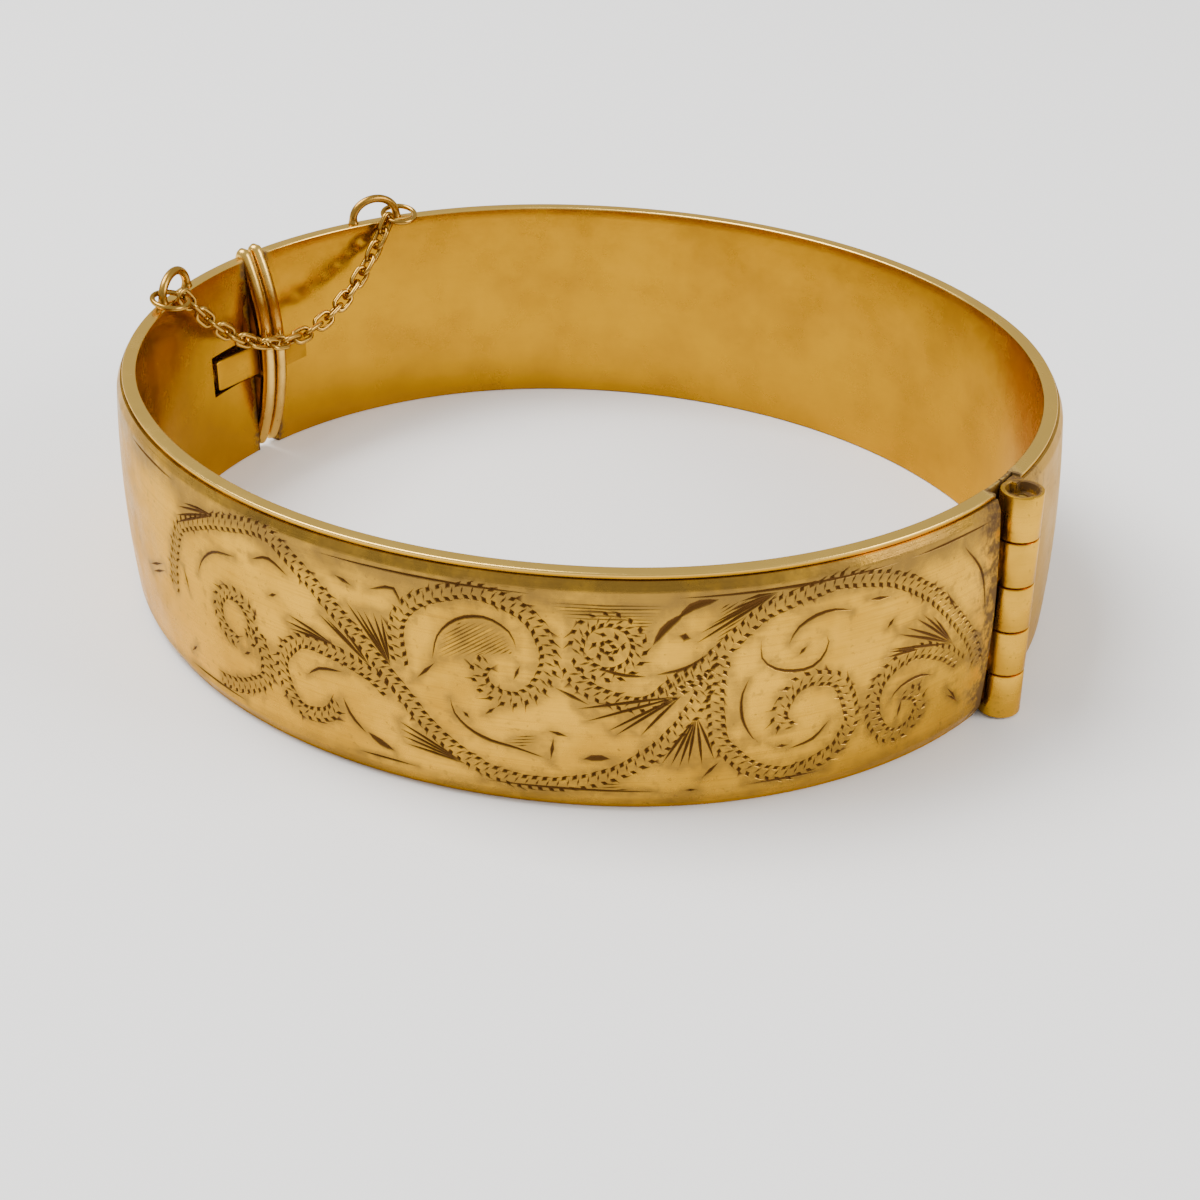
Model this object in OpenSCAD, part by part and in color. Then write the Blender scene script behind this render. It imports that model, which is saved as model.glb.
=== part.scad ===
// Hinged oval bangle: an engraved hollow front half and a plain hollow back half, joined by a
// five-knuckle hinge at +X, closed by a tongue between two beaded collars at -X, with a safety
// chain between a wire loop on each half. The section is swept round a four-centre oval, so every
// offset of it is again made of true arcs. The bottom rim lies on z = 0. Millimetres.

/* [Oval] */
// Half of the inside length, hinge to clasp
inner_a = 30; // [28:0.5:32]
// Half of the inside width, front to back
inner_b = 27.2; // [26.5:0.1:28]
// Inside radius of the two end arcs
end_r = 26; // [25:0.5:26.2]

/* [Band] */
// Height of the band
band_h = 15.2; // [13:0.1:18]
// Width of the flat lip along each rim
lip_w = 0.9; // [0.7:0.05:1.1]
// Full thickness of the hollow band at half height
band_t = 1.6; // [1.5:0.05:1.9]
// Height of the bevelled cheek beside each rim
cheek_h = 0.9; // [0.6:0.1:1.4]
// Thickness of the outer shell
shell_t = 0.4; // [0.3:0.05:0.5]
// Thickness of the inner liner
liner_t = 0.3; // [0.25:0.05:0.4]

/* [Hinge] */
// Distance of the hinge pin outside the inner end of the oval
hinge_out = 1.7; // [1.7:0.05:1.9]
// Radius of the knuckles
knuckle_r = 1.3; // [1.2:0.05:1.3]
// Number of knuckles, an odd number
knuckles = 5; // [3:2:7]
// Gap between neighbouring knuckles
knuckle_gap = 0.08; // [0.05:0.01:0.15]
// Radius of the hinge pin
pin_r = 0.55; // [0.4:0.05:0.7]
// Radial clearance of the pin in its bore
pin_fit = 0.05; // [0.02:0.01:0.1]
// How far the pin ends sit inside the barrel
pin_recess = 0.45; // [0.2:0.05:0.8]
// Gap between the knuckles and the end of the front shell
front_gap = 0.4; // [0.1:0.05:0.6]
// Gap between the knuckles and the end of the back shell
back_gap = 0.05; // [0.05:0.05:0.3]

/* [Clasp] */
// Radius of the bead round each collar
bead_r = 0.55; // [0.4:0.05:0.6]
// Gap between the two collars when the bangle is shut
clasp_gap = 0.4; // [0.2:0.05:0.6]
// How far the collar stands in from the liner at half height
collar_in = 1.25; // [1:0.05:1.6]
// Height of the collar above the top rim
collar_proud = 0.5; // [0.2:0.05:0.7]
// Thickness of the plate inside each collar
plate_t = 0.5; // [0.3:0.05:0.6]

/* [Tongue] */
// Height of the tongue strip
tongue_h = 2.7; // [2:0.1:3.2]
// Thickness of the tongue strip
tongue_t = 0.35; // [0.25:0.05:0.45]
// How far the tongue reaches past the middle of the clasp
tongue_reach = 5.1; // [4:0.1:5.2]
// How far the inner face of the tongue stands in from the oval's end
tongue_in = 0.6; // [0.5:0.05:0.7]
// Length of the pad that holds the tongue on the back half
pad_l = 3; // [2:0.1:3.5]
// Height of that pad
pad_h = 1.8; // [1.4:0.1:2.4]

/* [Chain] */
// Distance between neighbouring links
link_pitch = 1.14; // [1.13:0.01:1.16]
// Diameter of the link wire
link_wire = 0.38; // [0.34:0.02:0.38]
// Outside width of a link
link_w = 1.3; // [1.3:0.05:1.5]
// Slack between two linked wires
link_slack = 0.06; // [0.04:0.01:0.08]
// Outside diameter of the two end rings
ring_d = 2.8; // [2.7:0.05:3]
// Tilt of the end rings, down towards the inside of the bangle
ring_tilt = 12; // [8:1:14]
// Diameter of the wire of the two soldered loops
loop_wire = 0.6; // [0.5:0.05:0.7]
// Distance between the legs of a loop
loop_w = 3.5; // [3:0.1:4]
// Angle of the front loop round the end arc, from the clasp
front_loop_at = 19; // [17:0.5:21]
// Angle of the back loop round the end arc, from the clasp
back_loop_at = 24.5; // [23:0.5:26]

/* [Hidden] */
$fn = 96;
// Four-centre oval: end arcs about (+-end_c, 0), side arcs about (0, -+side_c)
side_r = ((inner_a - end_r)^2 + inner_b^2 - end_r^2) / (2 * (inner_b - end_r));
end_c = inner_a - end_r;
side_c = side_r - inner_b;
arc_join = atan2(side_c, end_c);
// Crown of the outer face, a very flat arc across the band, drawn with points at equal steps
crown_rise = 0.3;
crown_chord = band_h / 2 - cheek_h;
crown_r = (crown_chord^2 + crown_rise^2) / (2 * crown_rise);
crown_step = (band_h - 2 * cheek_h) / 10;
cheek_slope = (band_t - crown_rise - lip_w) / cheek_h;
// Hinge and clasp places along X, and the shift that centres the closed bangle on the origin
hinge_x = inner_a + hinge_out;
barrel_end = 0.1;
knuckle_l = (band_h - 2 * barrel_end - (knuckles - 1) * knuckle_gap) / knuckles;
hinge_split = 0.06;
web_gap = 0.05;
web_x = inner_a + liner_t + web_gap;
web_t = 1.05;
collar_x = -inner_a - lip_w / 2;
collar_back = clasp_gap / 2 + 2 * bead_r;
collar_zc = (band_h + collar_proud) / 2;
tip_swell = 1.04;
tip_r = bead_r * tip_swell;
collar_half = collar_zc - tip_r;
collar_in_rise = collar_in + lip_w / 2;
collar_out_rise = band_t - lip_w / 2;
x_mid = (hinge_x + knuckle_r - inner_a - band_t - bead_r) / 2;
band_mid = band_h / 2;
// Tongue, its fold, the pad behind it and the catch step on it
tongue_x = -inner_a + tongue_in - tongue_t;
fold_back = 0.3;
fold_y = collar_back - fold_back;
fold_gap = 0.02;
pad_root = 0.5;
pad_drop = 0.1;
step_t = 0.25;
step_l = 0.4;
slot_gap = 0.15;
slot_in = 0.1;
slot_out = 0.75;
window_top = 0.55;
window_end = 0.45;
window_drop = 0.1;
// Solids that only cut reach this far past the rims, and this far across the band
cut_past = 1;
cut_across = 5;
// Chain: places of the loop legs that carry the end rings, and of the end rings themselves
loop_rho = end_r + 0.5;
loop_leg = 0.25;
ring_wire_r = 0.19;
ring_r = ring_d / 2 - ring_wire_r;
ring_in = 0.58;
ring_lift = 0.34;
rim_edge = loop_rho - end_r;
ring_z = band_h + ring_lift + (rim_edge - ring_in) * tan(ring_tilt);
links = 22;
function arc_dir(at, side) = [-cos(at), side * sin(at)];
function loop_centre(at, side) = [-end_c, 0] + loop_rho * arc_dir(at, side);
function far_leg(at, side) = loop_centre(at, side) + loop_w / 2 * [sin(at), side * cos(at)];
function ring_centre(at, side) = far_leg(at, side) - ring_in * arc_dir(at, side);
ring_b = ring_centre(back_loop_at, 1);
ring_f = ring_centre(front_loop_at, -1);
chain_way = (ring_f - ring_b) / norm(ring_f - ring_b);
chain_yaw = atan2(chain_way[1], chain_way[0]);
chain_start = ring_b + ring_r * chain_way;
chain_span = norm(ring_f - ring_b) - 2 * ring_r;
// The ring's wire is lower than its centre where the chain hooks on
chain_z = ring_z + ring_r * (chain_way * arc_dir(back_loop_at, 1)) * tan(ring_tilt);
link_l = link_pitch + 2 * link_wire + link_slack;
// The two end links turn about a ring's wire, which is nearer their middle than a joint of two links
hook = (link_wire + link_slack) / 2;
function pitch(k) = link_pitch - (k == 0 || k == links - 1 ? hook : 0);
// The chain hangs with its slope rising by an equal step of tangent from link to link
function slope(k, step) = atan(step * (k - (links - 1) / 2));
function reach(step, n = links) = sum([for (k = [0:n - 1]) pitch(k) * cos(slope(k, step))]);
function drop(step, n) = sum([for (k = [0:1:n - 1]) pitch(k) * sin(slope(k, step))]);
function sum(v, i = 0) = i < len(v) ? v[i] + sum(v, i + 1) : 0;
function hang(low, high, turns) =
    let (mid = (low + high) / 2)
    turns == 0 ? mid
        : reach(mid) > chain_span ? hang(mid, high, turns - 1) : hang(low, mid, turns - 1);
slope_step = hang(0, 1, 30);

module centred() translate([-x_mid, 0, 0]) children();

// ---- section and sweep -------------------------------------------------------------------

// Points of the outer face less an inset, from the bottom rim to the top: cheek, crown, cheek
function face_points(inset, low) = concat(
    [[lip_w - inset + low * cheek_slope, low]],
    [for (z = [cheek_h:crown_step:band_h - cheek_h + crown_step / 2])
        [band_t - inset - crown_r + sqrt(crown_r^2 - (z - band_mid)^2), z]],
    [[lip_w - inset + low * cheek_slope, band_h - low]]);

module liner_profile() {
    square([liner_t, band_h]);
    square([lip_w, liner_t]);
    translate([0, band_h - liner_t]) square([lip_w, liner_t]);
}

// The shell stands between the two lips of the liner
module shell_profile() {
    inner = face_points(shell_t, liner_t);
    polygon(concat(face_points(0, liner_t), [for (i = [len(inner) - 1:-1:0]) inner[i]]));
}

// Sweeps a profile, drawn outwards from the liner's inner face, round one half of the oval
module sweep_half(side) {
    mirror([0, side < 0 ? 1 : 0, 0]) {
        translate([end_c, 0, 0]) rotate_extrude(angle = arc_join)
            translate([end_r, 0]) children();
        translate([-end_c, 0, 0]) rotate_extrude(start = 180 - arc_join, angle = arc_join)
            translate([end_r, 0]) children();
        translate([0, -side_c, 0]) rotate_extrude(start = arc_join, angle = 180 - 2 * arc_join)
            translate([side_r, 0]) children();
    }
}

// Room for the collar at the clasp end of either half
module clasp_room() {
    translate([-inner_a - cut_across, -collar_back, -cut_past])
        cube([2 * cut_across, 2 * collar_back, band_h + 2 * cut_past]);
}

// Room for the knuckles at the hinge end, from x outwards and gap wide beside them
module hinge_room(x, gap) {
    translate([x, -knuckle_r - gap, -cut_past])
        cube([cut_across, 2 * (knuckle_r + gap), band_h + 2 * cut_past]);
}

module outer_shell(side, gap) {
    difference() {
        sweep_half(side) shell_profile();
        clasp_room();
        hinge_room(inner_a - cut_past, gap);
    }
}

module inner_liner(side, gap) {
    difference() {
        sweep_half(side) liner_profile();
        clasp_room();
        hinge_room(inner_a + liner_t, gap);
        translate([inner_a - cut_past, -hinge_split, -cut_past])
            cube([cut_across, 2 * hinge_split, band_h + 2 * cut_past]);
        if (side < 0) window();
    }
}

// Window in the front liner, beside the tongue
module window() {
    translate([-inner_a - cut_past, -tongue_reach - window_end, band_mid - tongue_h / 2 - window_drop])
        cube([2 * cut_past + tongue_in, tongue_reach, tongue_h + window_drop + window_top]);
}

// ---- clasp -------------------------------------------------------------------------------

// Radius of an arc that rises by rise over the collar's half height
function collar_arc_r(rise) = (collar_half^2 + rise^2) / (2 * rise);

// Bead round the collar: an arc on each side and a slightly fuller ball at the top and bottom
module collar_bead() {
    for (rise = [collar_in_rise, -collar_out_rise]) {
        r = collar_arc_r(abs(rise));
        half_turn = asin(collar_half / r);
        translate([collar_x + rise - sign(rise) * r, 0, collar_zc]) rotate([90, 0, 0])
            rotate_extrude(start = (rise > 0 ? 0 : 180) - half_turn, angle = 2 * half_turn,
                           $fn = 180)
                translate([r, 0]) circle(r = bead_r, $fn = 48);
    }
    for (z = [-1, 1]) translate([collar_x, 0, collar_zc + z * collar_half]) sphere(r = tip_r);
}

module collar_plate() {
    rotate([90, 0, 0]) linear_extrude(plate_t, center = true) intersection() {
        translate([collar_x + collar_in_rise - collar_arc_r(collar_in_rise), collar_zc])
            circle(r = collar_arc_r(collar_in_rise), $fn = 360);
        translate([collar_x - collar_out_rise + collar_arc_r(collar_out_rise), collar_zc])
            circle(r = collar_arc_r(collar_out_rise), $fn = 360);
    }
}

module clasp_collar(side) {
    translate([0, side * (clasp_gap / 2 + bead_r), 0]) collar_bead();
}

module clasp_plate(side) {
    slot_h = tongue_h + 2 * slot_gap;
    out = side < 0 ? slot_out : slot_in;
    difference() {
        translate([0, side * (clasp_gap / 2 + bead_r), 0]) collar_plate();
        clasp_collar(side);
        translate([tongue_x - out, -collar_back, band_mid - slot_h / 2])
            cube([tongue_t + slot_in + out, 2 * collar_back, slot_h]);
    }
}

// ---- hinge -------------------------------------------------------------------------------

module knuckle(k, side) {
    z = barrel_end + k * (knuckle_l + knuckle_gap);
    gap = side < 0 ? front_gap : back_gap;
    difference() {
        union() {
            translate([hinge_x, 0, z]) cylinder(r = knuckle_r, h = knuckle_l);
            translate([web_x, side < 0 ? -knuckle_r - gap : 0, z])
                cube([web_t, knuckle_r + gap, knuckle_l]);
        }
        translate([hinge_x, 0, -cut_past]) cylinder(r = pin_r + pin_fit, h = band_h + 2 * cut_past);
    }
}

// ---- chain -------------------------------------------------------------------------------

// Wire arch soldered on the top rim, with its plane along the rim
module chain_loop(at, side) {
    place = loop_centre(at, side);
    translate([place[0], place[1], band_h]) rotate([0, 0, 90 - side * at]) {
        translate([0, 0, loop_leg]) rotate([90, 0, 0])
            rotate_extrude(angle = 180) translate([loop_w / 2, 0]) circle(d = loop_wire, $fn = 48);
        for (x = [-1, 1]) translate([x * loop_w / 2, 0, 0]) cylinder(d = loop_wire, h = loop_leg, $fn = 48);
    }
}

// Jump ring round the far leg of a loop, tilted down towards the inside
module chain_ring(at, side, place) {
    translate([place[0], place[1], ring_z]) rotate([0, 0, -side * at]) rotate([0, ring_tilt, 0])
        rotate_extrude() translate([ring_r, 0]) circle(r = ring_wire_r, $fn = 32);
}

// One oval wire link about the origin, its length along X
module oval_link() {
    bend = (link_w - link_wire) / 2;
    straight = link_l - link_w;
    for (end = [0, 180]) rotate([0, 0, end]) {
        translate([straight / 2, 0, 0]) rotate_extrude(start = -90, angle = 180)
            translate([bend, 0]) circle(d = link_wire, $fn = 32);
        translate([-straight / 2, bend, 0]) rotate([0, 90, 0])
            cylinder(d = link_wire, h = straight, $fn = 32);
    }
}

// Link k of the hanging chain, counted from the back half. Neighbours lie at right angles, and the
// chain twists by a quarter turn from end to end, so that both end links stand upright in their rings.
module chain_link(k) {
    along = k == 0 ? pitch(0) - link_pitch / 2 : link_pitch / 2;
    roll = (k % 2 == 0 ? 90 : 0) + 90 * k / (links - 1);
    color("#D2A24C") centred() translate([chain_start[0], chain_start[1], chain_z])
        rotate([0, 0, chain_yaw])
            translate([reach(slope_step, k) + along * cos(slope(k, slope_step)), 0,
                       drop(slope_step, k) + along * sin(slope(k, slope_step))])
                rotate([0, -slope(k, slope_step), 0]) rotate([roll, 0, 0]) oval_link();
}

// ---- pieces ------------------------------------------------------------------------------

module front_outer_shell() color("#D8AC58") centred() outer_shell(-1, front_gap);
module back_outer_shell() color("#CDA35A") centred() outer_shell(1, back_gap);
module front_inner_liner() color("#C79A42") centred() inner_liner(-1, front_gap);
module back_inner_liner() color("#C79A42") centred() inner_liner(1, back_gap);
module front_clasp_plate() color("#A97F38") centred() clasp_plate(-1);
module back_clasp_plate() color("#A97F38") centred() clasp_plate(1);
module front_clasp_collar() color("#D9B060") centred() clasp_collar(-1);
module back_clasp_collar() color("#D9B060") centred() clasp_collar(1);
module front_chain_loop() color("#C9A458") centred() chain_loop(front_loop_at, -1);
module back_chain_loop() color("#C9A458") centred() chain_loop(back_loop_at, 1);
module front_knuckles() color("#CFA352") centred() for (k = [1:2:knuckles - 1]) knuckle(k, -1);
module back_knuckles() color("#CFA352") centred() for (k = [0:2:knuckles - 1]) knuckle(k, 1);

module hinge_pin() {
    color("#B9975A") centred() translate([hinge_x, 0, barrel_end + pin_recess])
        cylinder(r = pin_r, h = band_h - 2 * (barrel_end + pin_recess));
}

// Pad on the back liner: the fixed root of the tongue, up to its fold
module tongue_pad() {
    color("#BE9446") centred() difference() {
        translate([tongue_x - pad_root, fold_y, band_mid - tongue_h / 2 - pad_drop])
            cube([tongue_t + pad_root, pad_l, pad_h]);
        translate([-end_c, 0, -cut_past]) difference() {
            cylinder(r = end_r + cut_across, h = band_h + 2 * cut_past, $fn = 360);
            cylinder(r = end_r, h = band_h + 2 * cut_past, $fn = 360);
        }
    }
}

// The spring strip of the tongue, from its fold through both plates into the front half
module tongue_strip() {
    color("#C09A4C") centred() translate([tongue_x, -tongue_reach, band_mid - tongue_h / 2])
        cube([tongue_t, tongue_reach + fold_y - fold_gap, tongue_h]);
}

// Step on the outer face of the strip that catches behind the front plate
module tongue_catch_step() {
    color("#C09A4C") centred()
        translate([tongue_x - step_t, -collar_back - step_l, band_mid - tongue_h / 2])
            cube([step_t, step_l, tongue_h]);
}

module chain_ring_back() color("#D2A24C") centred() chain_ring(back_loop_at, 1, ring_b);
module chain_ring_front() color("#D2A24C") centred() chain_ring(front_loop_at, -1, ring_f);

front_outer_shell();
front_inner_liner();
front_clasp_plate();
front_clasp_collar();
front_chain_loop();
front_knuckles();
back_outer_shell();
back_inner_liner();
back_clasp_plate();
back_clasp_collar();
back_chain_loop();
back_knuckles();
hinge_pin();
tongue_pad();
tongue_strip();
tongue_catch_step();
chain_ring_back();
chain_ring_front();
chain_link(0);  // chain_link_01
chain_link(1);  // chain_link_02
chain_link(2);  // chain_link_03
chain_link(3);  // chain_link_04
chain_link(4);  // chain_link_05
chain_link(5);  // chain_link_06
chain_link(6);  // chain_link_07
chain_link(7);  // chain_link_08
chain_link(8);  // chain_link_09
chain_link(9);  // chain_link_10
chain_link(10);  // chain_link_11
chain_link(11);  // chain_link_12
chain_link(12);  // chain_link_13
chain_link(13);  // chain_link_14
chain_link(14);  // chain_link_15
chain_link(15);  // chain_link_16
chain_link(16);  // chain_link_17
chain_link(17);  // chain_link_18
chain_link(18);  // chain_link_19
chain_link(19);  // chain_link_20
chain_link(20);  // chain_link_21
chain_link(21);  // chain_link_22
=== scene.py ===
"""Hinged oval bangle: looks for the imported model.

The sheet parts are swept again round the same four-centre oval with a finer mesh, the engraving is
cut into the front shell as real grooves, and every wire part becomes a smooth tube laid along the
axes of its CAD node. Lengths are in millimetres until a mesh is made, and then in metres.
"""

import math
import random

import bmesh
import bpy
import numpy as np
from mathutils import Matrix, Vector
from mathutils.geometry import delaunay_2d_cdt
from mathutils.kdtree import KDTree


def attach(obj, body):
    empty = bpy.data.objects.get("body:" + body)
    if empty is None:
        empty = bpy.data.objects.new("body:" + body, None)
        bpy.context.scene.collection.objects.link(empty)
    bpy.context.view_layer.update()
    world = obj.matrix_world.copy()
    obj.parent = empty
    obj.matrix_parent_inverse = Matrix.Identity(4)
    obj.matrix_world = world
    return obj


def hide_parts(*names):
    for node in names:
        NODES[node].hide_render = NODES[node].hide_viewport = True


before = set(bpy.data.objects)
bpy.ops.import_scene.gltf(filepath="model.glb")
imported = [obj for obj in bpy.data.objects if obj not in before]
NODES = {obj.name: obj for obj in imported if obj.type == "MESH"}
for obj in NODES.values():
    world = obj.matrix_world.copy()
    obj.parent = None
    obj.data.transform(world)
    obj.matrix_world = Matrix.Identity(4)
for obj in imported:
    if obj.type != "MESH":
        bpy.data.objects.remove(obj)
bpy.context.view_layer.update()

MM = 0.001

# ---- sizes that the meshes share with the CAD model ----------------------------------------------

INNER_A = 30.0  # half of the inside length, hinge to clasp
INNER_B = 27.2  # half of the inside width
END_R = 26.0  # inside radius of the oval's two ends
BAND_H = 15.2
LIP_W = 0.9  # flat rim of the liner, above and below
BAND_T = 1.6  # depth of the hollow band
CHEEK_H = 0.9  # height of the sloping cheeks of the outer face
SHELL_T = 0.4
SHELL_MID = BAND_T - SHELL_T / 2  # middle of the shell's thickness, outside the inner oval
LINER_T = 0.3
CROWN_RISE = 0.3  # how far the outer face bulges between its cheeks
CLASP_END = 1.05  # where shells and liners stop at the clasp; the CAD model leaves 0.25 more
HINGE_X = 31.7
KNUCKLE_R = 1.3
FRONT_HINGE_END = 1.7  # where each half's sheets stop at the hinge
BACK_HINGE_END = 1.35
COLLAR_PAST = 0.55  # how far the collar stands past the outer face at the clasp
X_MID = (HINGE_X + KNUCKLE_R - INNER_A - BAND_T - COLLAR_PAST) / 2

# centres and radii of the four arcs, and of the crowned outer face
END_C = INNER_A - END_R
SIDE_R = ((INNER_A - END_R) ** 2 + INNER_B**2 - END_R**2) / (2 * (INNER_B - END_R))
SIDE_C = SIDE_R - INNER_B
ARC_JOIN = math.atan2(SIDE_C, END_C)
CROWN_CHORD = BAND_H / 2 - CHEEK_H
CROWN_R = (CROWN_CHORD**2 + CROWN_RISE**2) / (2 * CROWN_RISE)
CHEEK_SLOPE = (BAND_T - CROWN_RISE - LIP_W) / CHEEK_H

FRONT, BACK = -1, 1


# ---- the oval ------------------------------------------------------------------------------------

# The engraving is drawn on the developed band, at this distance outside the inner oval
ENGRAVED_OFF = 1.36
END_LEN = (END_R + ENGRAVED_OFF) * ARC_JOIN
SIDE_LEN = (SIDE_R + ENGRAVED_OFF) * (math.pi - 2 * ARC_JOIN)
BAND_LEN = 2 * END_LEN + SIDE_LEN


def plan(u, off, side):
    """Point off outside the inner oval, u along the band from the clasp, and the outward normal."""
    if u < END_LEN:
        centre, radius, turn = (-END_C, 0.0), END_R, u / (END_R + ENGRAVED_OFF)
    elif u < END_LEN + SIDE_LEN:
        centre, radius = (0.0, -side * SIDE_C), SIDE_R
        turn = ARC_JOIN + (u - END_LEN) / (SIDE_R + ENGRAVED_OFF)
    else:
        centre, radius = (END_C, 0.0), END_R
        turn = math.pi - (BAND_LEN - u) / (END_R + ENGRAVED_OFF)
    normal = (-math.cos(turn), side * math.sin(turn))
    spot = (centre[0] + (radius + off) * normal[0], centre[1] + (radius + off) * normal[1])
    return spot, normal


def u_at_clasp(y, off):
    """Distance along the band at which a sheet off outside the oval is y away from the mid line."""
    return (END_R + ENGRAVED_OFF) * math.asin(y / (END_R + off))


def u_at_hinge(y, off):
    return BAND_LEN - u_at_clasp(y, off)


def to_frame(x, y, z):
    return ((x - X_MID) * MM, y * MM, z * MM)


def face_off(z):
    """How far the outer face of the band is outside the inner oval at height z."""
    low = min(z, BAND_H - z)
    if low < CHEEK_H:
        return LIP_W + low * CHEEK_SLOPE
    return BAND_T - CROWN_R + math.sqrt(CROWN_R**2 - (z - BAND_H / 2) ** 2)


def soft_face_off(z, soft=0.09):
    """The outer face with its cheek edges rounded by polishing."""
    steps = (-1.0, -0.5, 0.0, 0.5, 1.0)
    return sum(face_off(min(max(z + s * soft, 0.0), BAND_H)) for s in steps) / len(steps)


# ---- mesh helpers --------------------------------------------------------------------------------


def add_object(name, data):
    obj = bpy.data.objects.new(name, data)
    bpy.context.scene.collection.objects.link(obj)
    return obj


def make_object(name, points, faces, smooth=True):
    """A mesh object from points in millimetres, in the frame."""
    mesh = bpy.data.meshes.new(name)
    mesh.from_pydata([to_frame(*p) for p in points], [], faces)
    mesh.validate()
    bm = bmesh.new()
    bm.from_mesh(mesh)
    bmesh.ops.recalc_face_normals(bm, faces=bm.faces)
    bm.to_mesh(mesh)
    bm.free()
    for poly in mesh.polygons:
        poly.use_smooth = smooth
    return add_object(name, mesh)


def sharpen(obj, degrees=35.0):
    """Marks edges sharper than an angle, so that shading breaks there."""
    bm = bmesh.new()
    bm.from_mesh(obj.data)
    limit = math.radians(degrees)
    for edge in bm.edges:
        edge.smooth = len(edge.link_faces) == 2 and edge.calc_face_angle(0.0) < limit
    bm.to_mesh(obj.data)
    bm.free()
    return obj


def bevel(obj, width, segments=2):
    mod = obj.modifiers.new("edges", "BEVEL")
    mod.width = width * MM
    mod.segments = segments
    mod.limit_method = "ANGLE"
    mod.angle_limit = math.radians(30.0)
    mod.harden_normals = False


def grid_faces(rows, cols, wrap_rows=False, wrap_cols=False, skip=None):
    """Quads of a grid of points stored row by row."""
    faces = []
    for r in range(rows if wrap_rows else rows - 1):
        for c in range(cols if wrap_cols else cols - 1):
            if skip and skip(r, c):
                continue
            r1, c1 = (r + 1) % rows, (c + 1) % cols
            row, row1 = r * cols, r1 * cols
            faces.append((row + c, row + c1, row1 + c1, row1 + c))
    return faces


def tube_object(name, path, radius, sides=14, closed=False, swell=None):
    """A round wire along a path in millimetres; swell(k) scales its radius at point k."""
    path = np.array(path, float)
    count = len(path)
    if closed:
        along = np.roll(path, -1, 0) - np.roll(path, 1, 0)
    else:
        along = np.gradient(path, axis=0)
    along /= np.linalg.norm(along, axis=1)[:, None]
    flat = np.linalg.svd(path - path.mean(0))[2][2]
    points = []
    for k in range(count):
        out = np.cross(along[k], flat)
        out /= np.linalg.norm(out)
        up = np.cross(out, along[k])
        r = radius * (swell(k) if swell else 1.0)
        for s in range(sides):
            a = 2 * math.pi * s / sides
            points.append(tuple(path[k] + r * (math.cos(a) * out + math.sin(a) * up)))
    faces = grid_faces(count, sides, wrap_rows=closed, wrap_cols=True)
    if not closed:
        faces.append(tuple(range(sides)))
        faces.append(tuple((count - 1) * sides + s for s in range(sides)))
    return make_object(name, points, faces)


def node_axes(node):
    """Centre and principal axes of a CAD node, in millimetres, longest spread first."""
    co = np.array([v.co[:] for v in NODES[node].data.vertices]) / MM
    axes = np.linalg.svd(co - co.mean(0), full_matrices=False)[2]
    middle = co @ axes.T
    centre = ((middle.max(0) + middle.min(0)) / 2) @ axes
    centre[0] += X_MID
    return centre, axes


# ---- materials -----------------------------------------------------------------------------------


class Shader:
    """A node material that is built up call by call; values are node outputs or constants."""

    def __init__(self, name):
        self.material = bpy.data.materials.new(name)
        self.material.use_nodes = True
        self.tree = self.material.node_tree
        self.tree.nodes.clear()
        self.surface = self.node("BsdfPrincipled", {"Metallic": 1.0, "Specular Tint": EDGE_TINT})
        self.node("OutputMaterial", {"Surface": self.surface.outputs["BSDF"]})
        self.coords = self.node("TexCoord", {}).outputs["Object"]

    def put(self, value, socket):
        if isinstance(value, bpy.types.NodeSocket):
            self.tree.links.new(value, socket)
        else:
            socket.default_value = value

    def node(self, kind, inputs, **settings):
        node = self.tree.nodes.new("ShaderNode" + kind)
        for name, value in settings.items():
            setattr(node, name, value)
        for name, value in inputs.items():
            self.put(value, node.inputs[name])
        return node

    def noise(self, scale, detail, roughness, stretch=(1.0, 1.0, 1.0)):
        vector = self.node("Mapping", {"Vector": self.coords, "Scale": stretch}).outputs["Vector"]
        inputs = {"Vector": vector, "Scale": scale, "Detail": detail, "Roughness": roughness}
        return self.node("TexNoise", inputs).outputs["Fac"]

    def ramp(self, value, low, high, a=0.0, b=1.0):
        inputs = {"Value": value, "From Min": low, "From Max": high, "To Min": a, "To Max": b}
        return self.node("MapRange", inputs, interpolation_type="SMOOTHSTEP").outputs["Result"]

    def mix(self, factor, a, b):
        return self.node("Mix", {"Factor": factor, "A": a, "B": b}, data_type="RGBA").outputs["Result"]

    def combine(self, a, b, how="ADD"):
        return self.node("Math", {0: a, 1: b}, operation=how).outputs["Value"]

    def attribute(self, name):
        return self.node("Attribute", {}, attribute_name=name).outputs["Fac"]

    def height(self, z_from, z_to, strength=1.0):
        """0 to strength between two heights in millimetres."""
        parts = self.node("SeparateXYZ", {"Vector": self.coords})
        return self.ramp(parts.outputs["Z"], z_from * MM, z_to * MM, 0.0, strength)

    def bump(self, *heights):
        """Bump from (value, distance in millimetres) pairs, chained."""
        normal = {}
        for value, distance in heights:
            node = self.node("Bump", {"Distance": distance * MM, "Height": value, **normal})
            normal = {"Normal": node.outputs["Normal"]}
        self.put(normal["Normal"], self.surface.inputs["Normal"])

    def dull(self, *amounts):
        """Less metal and less shine where patina, tarnish and painted shade lie."""
        metal, shine = 1.0, 0.5
        for amount in amounts:
            metal = self.combine(metal, self.combine(amount, 0.85, "MULTIPLY"), "SUBTRACT")
            shine = self.combine(shine, self.combine(amount, 0.4, "MULTIPLY"), "SUBTRACT")
        if amounts:
            self.put(metal, self.surface.inputs["Metallic"])
            self.put(shine, self.surface.inputs["Specular IOR Level"])


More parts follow.
